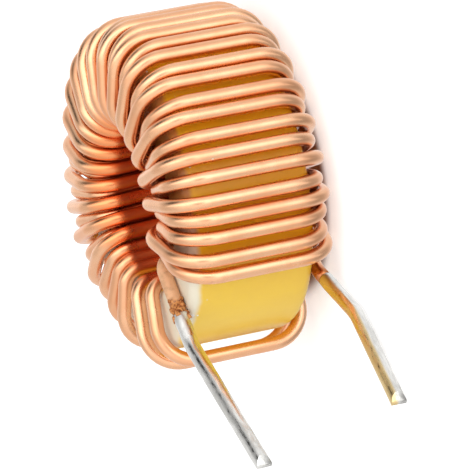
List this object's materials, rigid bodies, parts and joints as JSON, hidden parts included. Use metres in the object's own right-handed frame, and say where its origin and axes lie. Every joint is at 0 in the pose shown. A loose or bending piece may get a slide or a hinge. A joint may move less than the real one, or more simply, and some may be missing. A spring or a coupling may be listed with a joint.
{
  "type": "toroidal_inductor",
  "caption": "Toroidal inductor: a rounded ring core, yellow with one white end, wound with enamelled copper wire, with two straight tinned leads along one side for soldering into a board",
  "frame": {"origin": "under the middle of the whole part's outline seen from above, on the plane that the winding rests on", "axes": "+Z along the ring core's axis, up, towards the core's white end; -Y the way both leads point; +X across the leads"},
  "size_m": [0.0262, 0.0394, 0.0135],
  "materials": {
    "core_coat": "yellow epoxy paint over pressed iron powder, white on the upper end, satin",
    "copper_wire": "bright copper under clear orange enamel, satin gloss",
    "tin": "hot-dipped tin, bright, slightly uneven"
  },
  "bodies": {
    "root": {"core": "core_coat", "winding": "copper_wire", "upper_lead": "tin", "lower_lead": "tin"}
  },
  "joints": []
}
